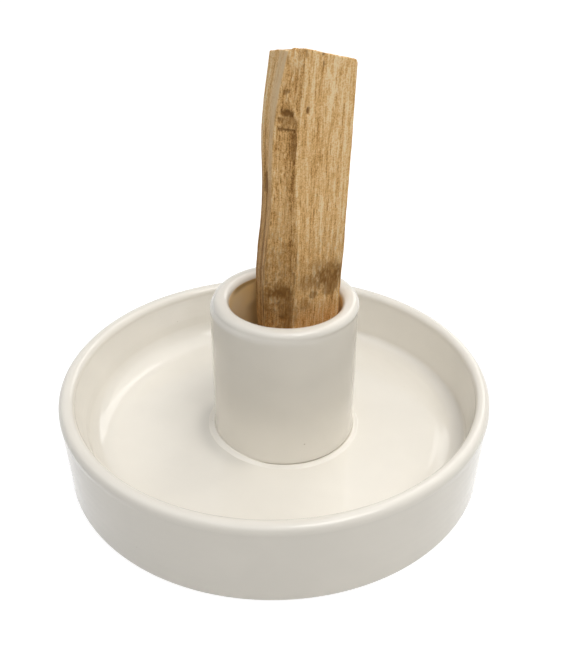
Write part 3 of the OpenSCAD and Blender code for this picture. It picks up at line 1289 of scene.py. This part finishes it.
    def ring_points(self, share: Grid, places: Grid) -> Grid:
        """Joins the corners by straight edges and rounds them by averaging neighbours.

        Args:
            share: Shares of the way up, rows by 1.
            places: Places of the columns on the edges.

        Returns:
            Points (x, y), rows by columns by 2.
        """
        corners = self.corners(share[:, 0])
        edge = np.floor(places).astype(int)
        part = (places - edge)[None, :, None]
        ring = corners[:, edge] * (1 - part) + corners[:, (edge + 1) % corners.shape[1]] * part
        for _ in range(self.corner_passes):
            ring = ring / 2 + (np.roll(ring, 1, 1) + np.roll(ring, -1, 1)) / 4
        return ring

    def across(self, face: Face, places: Grid) -> tuple[Grid, Grid]:
        """Says how far across a face each column lies.

        Args:
            face: The face.
            places: Places of the columns on the edges.

        Returns:
            The share across the face, which runs on past its edges, and 1 where the column is on it.
        """
        first, end = face.value
        share = (places - first) / (end - first)
        return share, ((share >= 0) & (share < 1)).astype(float)

    def soften_columns(self, weight: Grid, passes: int = 10) -> Grid:
        """Blurs a weight round the stick by averaging neighbours."""
        for _ in range(passes):
            weight = weight / 2 + (np.roll(weight, 1, -1) + np.roll(weight, -1, -1)) / 4
        return weight

    def build(self) -> bpy.types.Object:
        """Builds the loft, tears its faces and lays out what the finish reads.

        A point is the ring's point, moved along the ring's normal by the relief, shrunk towards the
        ring's middle on the ends, raised by its share of the raked end's height, and leaned.

        Returns:
            The stick.
        """
        dice = np.random.default_rng(self.seed)
        places = self.edge_places()
        share, size = self.rows()
        ring = self.ring_points(share, places)
        tangent = np.roll(ring, -1, 1) - np.roll(ring, 1, 1)
        tangent /= np.linalg.norm(tangent, axis=-1, keepdims=True)
        normal = np.stack([tangent[..., 1], -tangent[..., 0]], -1)
        around = np.repeat((np.arange(len(places)) / len(places))[None, :], len(share), 0)
        along = np.repeat(share, len(places), 1)
        height = along * self.end_height(ring)
        relief, traits = self.weather(dice, places, around, along, height)
        worn = np.minimum(along, 1 - along) * self.length
        worn = np.clip(1 - worn / self.worn_end, 0.0, 1.0)
        relief = relief - self.worn_end * (1 - np.sqrt(1 - worn**2)) * 0.8
        ring = ring + normal * relief[..., None]
        middle = ring.mean(1, keepdims=True)
        ring = middle + (ring - middle) * size[..., None]
        frayed = (1 + Lattice(dice, 90, 1).at(around, np.zeros_like(along))) / 2
        frayed = 0.6 * frayed + 0.4 * (1 + Lattice(dice, 23, 1).at(around, np.zeros_like(along))) / 2
        corner_worn = self.corner_wear * (bell(2.0, 0.06, places) + bell(6.0, 0.35, places))
        height = along * self.end_height(ring) - (self.fray * frayed + corner_worn) * along**60 * size**8
        traits["end"] = np.repeat(ease(1.0, 0.97, size), len(places), 1)
        points = self.leaned(np.concatenate([ring, height[..., None]], -1))
        return weave("split_stick", points, Closure.POLES, traits)

    def weather(
        self, dice: np.random.Generator, places: Grid, around: Grid, along: Grid, height: Grid
    ) -> tuple[Grid, dict[str, Grid]]:
        """Works out the relief of the split faces and the tones of the wood.

        The relief is a sum of long fibre swells, from broad to fine, a rough torn face and the tears.
        The tone follows the fibres and adds the streaks.

        Args:
            dice: Seeded source of random numbers.
            places: Places of the columns on the edges.
            around: Share of the way round, rows by columns.
            along: Share of the way up, rows by columns.
            height: Height over the foot in millimetres, rows by columns.

        Returns:
            The relief in millimetres, never above the standing fibres, and the traits by name.
        """
        broad = Lattice(dice, 9, 5).at(around, along)
        fibre = Lattice(dice, 36, 5).at(around, along)
        fine = Lattice(dice, 96, 11).at(around, along)
        hair = Lattice(dice, 150, 56).at(around, along)
        speck = Lattice(dice, 180, 130).at(around, along)
        dark_strand = ease(0.80, 0.98, 1 - np.abs(Lattice(dice, 66, 10).at(around, along)))
        pale_strand = ease(0.82, 0.98, 1 - np.abs(Lattice(dice, 80, 14).at(around, along)))
        crumb = Lattice(dice, 60, 90).at(around, along)
        grit = Lattice(dice, 110, 170).at(around, along)
        _, on_torn = self.across(Face.TORN_FRONT, places)
        torn = self.soften_columns(on_torn)[None, :] * np.ones_like(along)
        _, on_left = self.across(Face.LEFT_SIDE, places)
        left = self.soften_columns(on_left)[None, :] * np.ones_like(along)
        relief = 0.10 * broad + (1 - 0.6 * torn) * (0.10 * fibre + 0.08 * fine) + 0.04 * hair
        relief = relief + torn * (0.13 * crumb + 0.08 * grit)
        # Painted light: the stick's upper end is made paler, where more light falls.
        painted_top_light = (0.12 - 0.14 * torn) * ease(0.70, 0.95, along)
        tone = 0.60 + painted_top_light + 0.03 * broad + 0.05 * fibre + 0.07 * fine + 0.12 * hair + 0.08 * speck
        tone = tone - 0.20 * dark_strand * (1 + hair) / 2 + 0.18 * pale_strand * (1 - fine) / 2
        tone = tone - torn * (0.03 - 0.10 * crumb - 0.08 * grit + 0.06 * bell(84.0, 7.0, height))
        # Painted shade: the left facet, turned from the lamps, is darker lower down.
        tone = tone - left * (0.02 + 0.05 * ease(0.8, 0.66, along))
        tone = tone + 0.07 * bell(0.72, 0.10, along) * (1 - torn) * (1 - left)
        for streak in self.streaks:
            weight = self.streak_weight(streak, places, along)
            tone = tone + streak.tone * weight * (0.8 + 0.3 * fine)
            relief = relief + 0.25 * streak.tone * weight
        resin = np.zeros_like(along)
        for tear in self.tears:
            weight = self.tear_weight(tear, places, height, 0.2 * hair + 0.2 * crumb + 0.15 * grit)
            relief = relief - tear.depth * weight
            resin = np.maximum(resin, tear.dark * weight)
        thick = 0.30 * ease(*self.veil, height) + 0.16 * torn * ease(*self.torn_veil, height)
        # Less resin low on the right face: painted bounce light.
        thick = thick * (1 - 0.6 * ease(*self.bounce_lit, height) * (1 - torn) * (1 - left))
        # More resin colour on the left facet: painted shade on the side turned from the lamps.
        thick = thick + 0.14 * left * ease(*self.left_shade, height)
        ragged = 0.4 * hair + 0.3 * fine + 0.3 * crumb
        resin = np.maximum(resin, self.resin_stain(places, height, thick, ragged, speck))
        silver = self.silver_stripe(places, height, fine)
        traits = {"tone": np.clip(tone, 0.0, 1.0), "resin": resin, "silver": silver}
        return np.minimum(relief - self.set_in, self.stand_out), traits

    def streak_weight(self, streak: Streak, places: Grid, along: Grid) -> Grid:
        """Works out where a streak lies: a bell across its face, which drifts and fades out at its ends.

        Args:
            streak: The streak.
            places: Places of the columns on the edges.
            along: Share of the way up, rows by columns.

        Returns:
            Its weight, from 0 to 1.
        """
        fade = self.streak_fade
        share, on_face = self.across(streak.face, places)
        run = ease(streak.low - fade, streak.low + fade, along)
        run = run * ease(streak.high + fade, streak.high - fade, along)
        centre = streak.across + streak.drift * (along - streak.low) / (streak.high - streak.low)
        return bell(0.0, streak.half, share[None, :] - centre) * on_face[None, :] * run

    def tear_weight(self, tear: Tear, places: Grid, height: Grid, ragged: Grid) -> Grid:
        """Works out where a tear lies: inside the curve |x / a|^3 + |y / b|^3 = 1, with a ragged edge.

        Args:
            tear: The tear.
            places: Places of the columns on the edges.
            height: Height over the foot in millimetres, rows by columns.
            ragged: Swells that break its edge.

        Returns:
            Its weight, from 0 to 1.
        """
        share, on_face = self.across(tear.face, places)
        out = np.abs((share - tear.across) / tear.half_across) ** 3
        up = np.abs((height - tear.height) / tear.half_height) ** 3
        edge = np.cbrt(out[None, :] + up) + ragged
        return ease(1.15, 0.65, edge) * self.soften_columns(on_face, 2)[None, :]

    def resin_stain(self, places: Grid, height: Grid, thick: Grid, ragged: Grid, speck: Grid) -> Grid:
        """Lays dark resin over the low half of the stick: a speckled veil and the ragged patches.
        The veil also carries painted shade on the left facet.

        Args:
            places: Places of the columns on the edges.
            height: Height over the foot in millimetres.
            thick: Mean thickness of the veil.
            ragged: Fibre swells that tear the patches' edges.
            speck: Fine swells that speckle it.

        Returns:
            The stain, from 0 to 1.
        """
        veil = thick * (1 + 0.9 * speck + 0.6 * ragged)
        stain = np.maximum(veil, 0.35 * ease(*self.foot_stain, height))
        for patch in self.stains:
            share, on_face = self.across(patch.face, places)
            out = ((share - patch.across) / patch.half_across) ** 2
            up = ((height - patch.height) / patch.half_height) ** 2
            edge = np.sqrt(out[None, :] + up) + 0.7 * ragged + 0.3 * speck
            dark = patch.dark * ease(1.3, 0.6, edge) * (1.08 + 0.40 * ragged + 0.30 * speck)
            stain = np.maximum(stain, dark * self.soften_columns(on_face, 2)[None, :])
        return np.clip(stain, 0.0, 1.0)

    def silver_stripe(self, places: Grid, height: Grid, fine: Grid) -> Grid:
        """Lays the pale weathered stripe on the left facet beside its front corner, along the upper third.

        Args:
            places: Places of the columns on the edges.
            height: Height over the foot in millimetres.
            fine: Fibre swells that break it up.

        Returns:
            The stripe, from 0 to 1.
        """
        share, on_face = self.across(Face.LEFT_SIDE, places)
        inner = 0.56 + 0.14 * ease(92.0, 80.0, height) + 0.06 * fine
        stripe = ease(-0.10, 0.10, share[None, :] - inner) * self.soften_columns(on_face, 4)[None, :]
        return stripe * ease(62.0, 86.0, height) * (0.62 + 0.30 * fine)

    def leaned(self, points: Grid) -> Grid:
        """Turns points of the stick's own frame about Y by its lean and moves them to its origin."""
        x = points[..., 0] * math.cos(self.lean) + points[..., 2] * math.sin(self.lean)
        z = points[..., 2] * math.cos(self.lean) - points[..., 0] * math.sin(self.lean)
        return np.stack([x, points[..., 1], z], -1) + self.origin


@dataclass(frozen=True)
class Lamp:
    """Soft square or long lamp that faces the object."""

    name: str
    direction: Colour
    distance: float
    size: float
    power: float
    colour: Colour
    stretch: float = 1.0

    def build(self) -> None:
        """Hangs the lamp in its direction from the object, out of the camera's sight."""
        light = bpy.data.lights.new(self.name, "AREA")
        light.shape = "RECTANGLE"
        light.size = self.size
        light.size_y = self.size * self.stretch
        light.energy = self.power
        light.color = self.colour
        lamp = bpy.data.objects.new(self.name, light)
        towards = Vector(self.direction).normalized()
        lamp.location = towards * self.distance
        lamp.rotation_euler = towards.to_track_quat("Z", "Y").to_euler()
        lamp.visible_camera = False
        bpy.context.scene.collection.objects.link(lamp)


@dataclass
class Studio:
    """Pale floor, even white surroundings and soft lamps."""

    floor_half: float = 3.0
    floor_gap: float = 0.00005
    glow: float = 0.86
    glow_reach: Pair = (0.25, 0.9)
    shown_floor: Colour = (0.34, 0.34, 0.34)
    bounce_floor: Colour = (0.8, 0.79, 0.77)
    sky: Colour = (0.92, 0.96, 1.0)
    sky_strength: float = 0.06
    lamps: tuple[Lamp, ...] = (
        Lamp("ceiling_lamp", (0.30, -0.30, 0.91), 0.8, 0.4, 2.05, (1.0, 0.975, 0.93)),
        Lamp("window_lamp", (0.50, 0.32, 0.80), 0.8, 0.7, 1.85, (1.0, 0.98, 0.94)),
        Lamp("window_pane", (0.36, 0.74, 0.56), 0.8, 0.20, 0.70, (1.0, 0.99, 0.97), 3.0),
        Lamp("front_fill", (0.0, -0.57, 0.82), 0.8, 0.7, 1.65, (0.97, 0.98, 1.0)),
        Lamp("left_fill", (-0.57, 0.0, 0.82), 0.8, 0.7, 1.05, (0.97, 0.98, 1.0)),
        Lamp("overhead_fill", (0.05, 0.10, 1.0), 0.8, 1.0, 1.0, (1.0, 0.98, 0.94)),
    )

    def build(self) -> None:
        """Sets up the floor, the surroundings and the lamps."""
        self.lay_floor()
        self.light_sky()
        for lamp in self.lamps:
            lamp.build()

    def lay_floor(self) -> None:
        """Lays a flat floor just under the foot ring, white to the eye but with a soft shadow.

        Its own glow rises to full white with the distance from the object, beyond the shadow.
        """
        half, low = self.floor_half, -self.floor_gap
        mesh = bpy.data.meshes.new("pale_floor")
        corners = [(-half, -half, low), (half, -half, low), (half, half, low), (-half, half, low)]
        mesh.from_pydata(corners, [], [(0, 1, 2, 3)])
        board = Board.finish("pale_floor")
        away = board.node("ShaderNodeVectorMath", operation="LENGTH")
        board.feed(away.inputs[0], board.place())
        glow = board.node("ShaderNodeEmission")
        strength = board.span(away.outputs["Value"], self.glow_reach, (self.glow, 1.0))
        board.feed(glow.inputs["Strength"], strength)
        shown = board.node("ShaderNodeBsdfDiffuse")
        board.feed(shown.inputs["Color"], self.shown_floor)
        bounce = board.node("ShaderNodeBsdfDiffuse")
        board.feed(bounce.inputs["Color"], self.bounce_floor)
        bright = board.node("ShaderNodeAddShader")
        board.feed(bright.inputs[0], glow.outputs[0])
        board.feed(bright.inputs[1], shown.outputs[0])
        board.choose(self.seen(board), bounce.outputs[0], bright.outputs[0], "ShaderNodeOutputMaterial")
        mesh.materials.append(board.owner)
        floor = bpy.data.objects.new("pale_floor", mesh)
        bpy.context.scene.collection.objects.link(floor)

    def seen(self, board: Board) -> Socket:
        """Gives 1 for a ray from the camera, a reflection or a transmission, and 0 for a diffuse one."""
        path = board.node("ShaderNodeLightPath")
        shown = board.math("MAXIMUM", path.outputs["Is Camera Ray"], path.outputs["Is Glossy Ray"])
        return board.math("MAXIMUM", shown, path.outputs["Is Transmission Ray"])

    def light_sky(self) -> None:
        """Lights the world softly and a little coolly, and shows it white."""
        world = bpy.data.worlds.new("soft_white_room")
        bpy.context.scene.world = world
        board = Board(world)
        soft = board.node("ShaderNodeBackground")
        board.feed(soft.inputs["Color"], self.sky)
        soft.inputs["Strength"].default_value = self.sky_strength
        white = board.node("ShaderNodeBackground")
        board.feed(white.inputs["Color"], (1.0, 1.0, 1.0))
        board.choose(self.seen(board), soft.outputs[0], white.outputs[0], "ShaderNodeOutputWorld")


@dataclass(frozen=True)
class Viewpoint:
    """Camera at the photograph's viewing angle, in millimetres and degrees."""

    frame_height: int = 650
    focal_pixels: float = 850.0
    elevation: float = 31.3
    distance: float = 220.0
    target: Colour = (3.95, 0.0, 39.8)
    roll: float = 0.3
    sensor: float = 36.0

    def build(self) -> None:
        """Places the camera and makes it the scene's own."""
        lift, roll = math.radians(self.elevation), math.radians(self.roll)
        back = Vector((0.0, -math.cos(lift), math.sin(lift)))
        level = Vector((1.0, 0.0, 0.0))
        rise = back.cross(level)
        right = level * math.cos(roll) + rise * math.sin(roll)
        up = rise * math.cos(roll) - level * math.sin(roll)
        lens = bpy.data.cameras.new("viewpoint")
        lens.sensor_width = self.sensor
        lens.lens = self.sensor * self.focal_pixels / self.frame_height
        lens.clip_start = 0.01
        camera = bpy.data.objects.new("viewpoint", lens)
        place = (Vector(self.target) + back * self.distance) * MM
        camera.matrix_world = Matrix.Translation(place) @ Matrix((right, up, back)).transposed().to_4x4()
        bpy.context.scene.collection.objects.link(camera)
        bpy.context.scene.camera = camera


def main() -> None:
    """Builds the studio and then each piece in the place of its node."""
    logging.basicConfig(level=logging.INFO, format="%(message)s")
    bpy.context.scene.view_settings.view_transform = "Standard"
    Viewpoint().build()
    Studio().build()
    cup_box = CadBox.of("cup")
    glaze = StonewareGlaze().material()
    seat(ThrownDish(CadBox.of("dish"), cup_box).build(), "dish", Body.HOLDER, glaze)
    seat(LutedCup(cup_box).build(), "cup", Body.HOLDER, glaze)
    seat(SlipSeam(CadBox.of("slip_seam"), cup_box).build(), "slip_seam", Body.HOLDER, glaze)
    axis = frame["joints"][0]["axis"]
    stick = SplitStick(CadBox.of("palo_santo_stick"), math.atan2(axis[0], axis[2]))
    wood = PaloSantoWood().material(stick.origin, stick.lean)
    seat(stick.build(), "palo_santo_stick", Body.STICK, wood)


if __name__ == "__main__":
    main()
